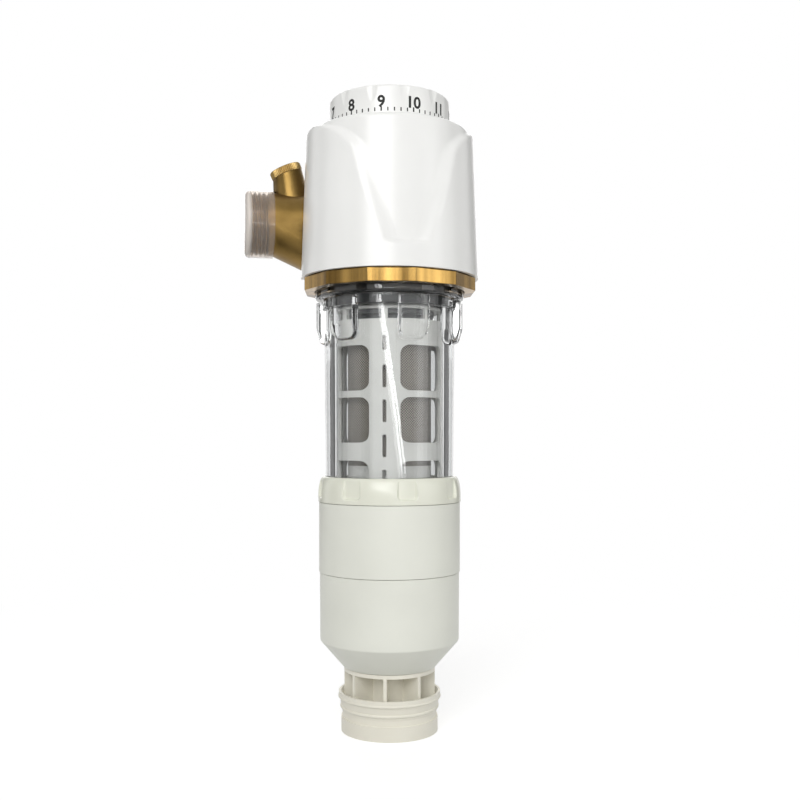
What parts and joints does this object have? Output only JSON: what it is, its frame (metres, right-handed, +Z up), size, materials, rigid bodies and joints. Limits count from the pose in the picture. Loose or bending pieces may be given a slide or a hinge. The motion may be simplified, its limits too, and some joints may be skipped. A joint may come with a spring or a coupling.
{
  "type": "self cleaning water filter",
  "caption": "Upright backwash water filter: white hood with a month dial over a brass pipe head, clear bowl with mesh element and turning jet cage, and a drain knob with spigot.",
  "frame": {"origin": "centre of the drain spigot's lower edge, on the filter's upright axis", "axes": "+Z up along the filter's axis, +X along the outlet, -X along the inlet, -Y towards the front of the hood"},
  "size_m": [0.122, 0.0916, 0.3245],
  "materials": {
    "hood_plastic": "smooth satin moulding",
    "dial_plastic": "smooth satin moulding with printed numbers",
    "housing_plastic": "fine satin moulding",
    "cream_plastic": "fine satin moulding",
    "spigot_plastic": "fine satin moulding",
    "cage_plastic": "satin moulding",
    "black_plastic": "satin moulding",
    "slip_plastic": "waxy smooth",
    "cap_plastic": "milky translucent film moulding",
    "clear_plastic": "polished clear moulding",
    "cast_brass": "shot-blasted satin casting",
    "turned_brass": "turned and polished",
    "steel_mesh": "fine woven wire",
    "stainless_steel": "turned",
    "disc_ceramic": "lapped white ceramic",
    "black_rubber": "smooth"
  },
  "bodies": {
    "filter": {"hood": "hood_plastic", "hood_screw": "stainless_steel", "head_body": "cast_brass", "gauge_port_plug": "turned_brass", "gauge_plug_seal": "black_rubber", "union_ring": "turned_brass", "slip_ring": "slip_plastic", "bowl": "clear_plastic", "bowl_neck_seal": "black_rubber", "bowl_foot_seal": "black_rubber", "filter_seat": "black_plastic", "element_top_ring": "cage_plastic", "element_seal": "black_rubber", "mesh_sleeve": "steel_mesh", "mesh_core": "cage_plastic", "element_end_cap": "cage_plastic", "cage_top_bush": "slip_plastic", "lower_union_nut": "cream_plastic", "valve_housing": "housing_plastic", "fixed_disc": "disc_ceramic", "disc_seat_seal": "black_rubber"},
    "drain_control": {"drain_knob": "housing_plastic", "outlet_nozzle": "cream_plastic", "shaft_seal": "black_rubber", "turning_disc": "disc_ceramic", "drive_stem": "stainless_steel", "jet_cage": "cage_plastic", "spigot_clip": "stainless_steel"},
    "spigot": {"drain_spigot": "spigot_plastic"},
    "dial": {"month_dial": "dial_plastic"},
    "cap": {"inlet_cap": "cap_plastic"}
  },
  "joints": [
    {"name": "knob_turn", "type": "hinge", "parent": "filter", "child": "drain_control", "pos_m": [0, 0, 0.0645], "axis": [0, 0, 1], "range_deg": [0, 90]},
    {"name": "spigot_swivel", "type": "hinge", "parent": "filter", "child": "spigot", "pos_m": [0, 0, 0.02], "axis": [0, 0, 1], "continuous": true},
    {"name": "dial_turn", "type": "hinge", "parent": "filter", "child": "dial", "pos_m": [0, 0, 0.316], "axis": [0, 0, 1], "continuous": true},
    {"name": "cap_pull", "type": "slide", "parent": "filter", "child": "cap", "axis": [-1, 0, 0], "range_m": [0, 0.03]}
  ]
}
